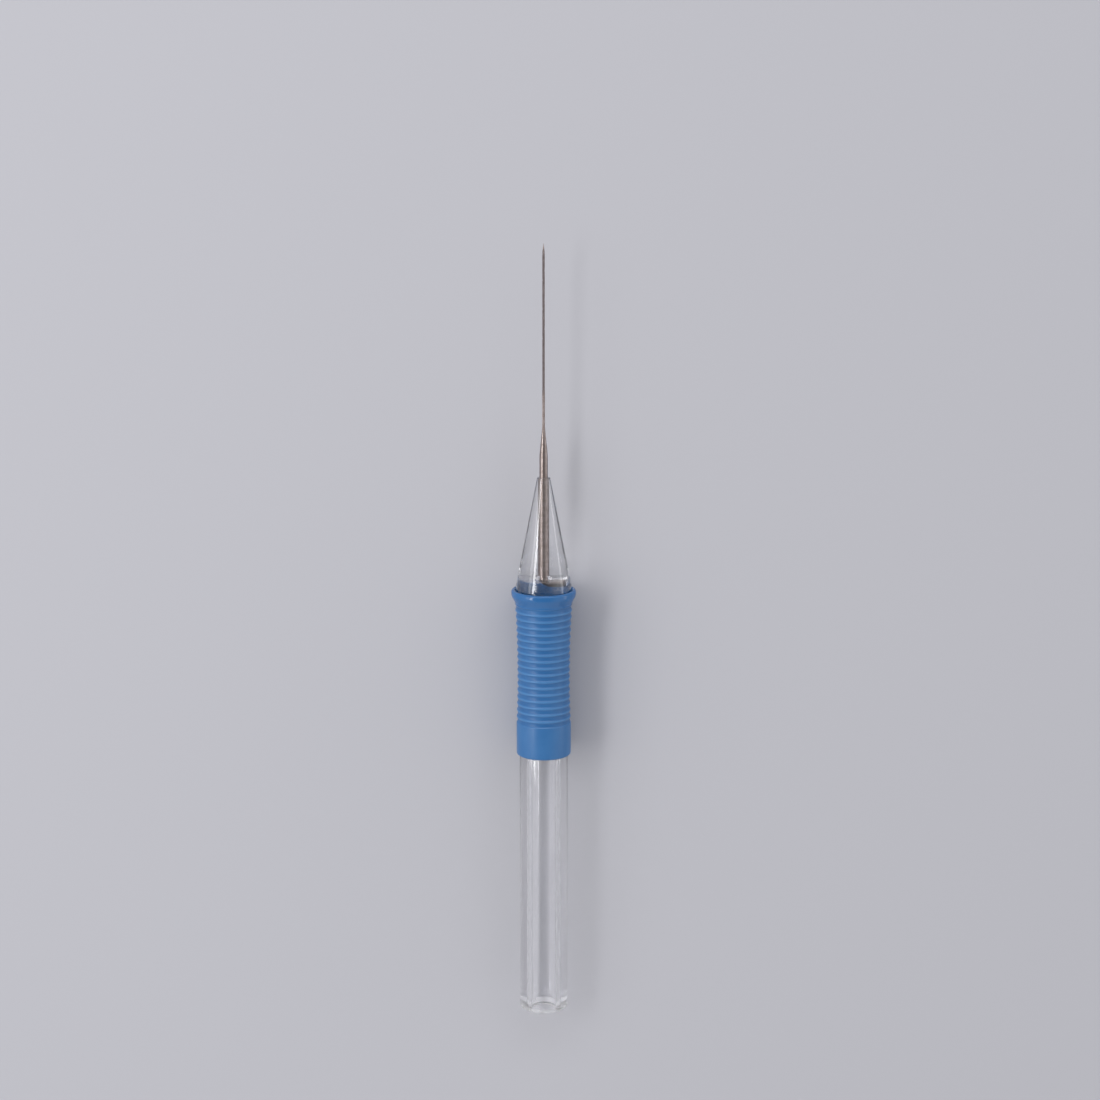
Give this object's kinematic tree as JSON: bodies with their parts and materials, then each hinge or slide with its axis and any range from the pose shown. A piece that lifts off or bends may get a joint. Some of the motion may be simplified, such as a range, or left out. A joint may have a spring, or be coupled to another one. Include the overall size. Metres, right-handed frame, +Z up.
{
  "type": "felting needle",
  "caption": "Pen-shaped needle felting tool: barbed steel needle in a clear screw-off nose cone, with a ribbed soft grip and a clear hollow barrel.",
  "frame": {"origin": "on the surface that the tool lies on, below the tool axis, halfway along the overall length", "axes": "+Y along the tool axis from the tail to the needle's point, +Z up from the surface, +X to the right seen from above with the point ahead; the needle's crank points to +X"},
  "size_m": [0.0144, 0.1746, 0.0144],
  "materials": {
    "needle_steel": "drawn wire, dull bright",
    "clear_plastic": "clear, polished",
    "grip_rubber": "soft moulded, satin"
  },
  "bodies": {
    "handle": {"barrel": "clear_plastic", "grip": "grip_rubber"},
    "needle_carrier": {"needle": "needle_steel"},
    "nose": {"nose_cone": "clear_plastic"}
  },
  "joints": [
    {"name": "nose_advance", "type": "slide", "parent": "handle", "child": "needle_carrier", "axis": [0, 1, 0], "range_m": [0, 0.00625]},
    {"name": "nose_turn", "type": "hinge", "parent": "needle_carrier", "child": "nose", "pos_m": [0, 0.01103, 0.0072], "axis": [0, 1, 0], "range_deg": [0, 1800]}
  ],
  "couplings": [
    {"joint": "nose_turn", "follows": "nose_advance", "rad_per_m": 5026.5}
  ]
}
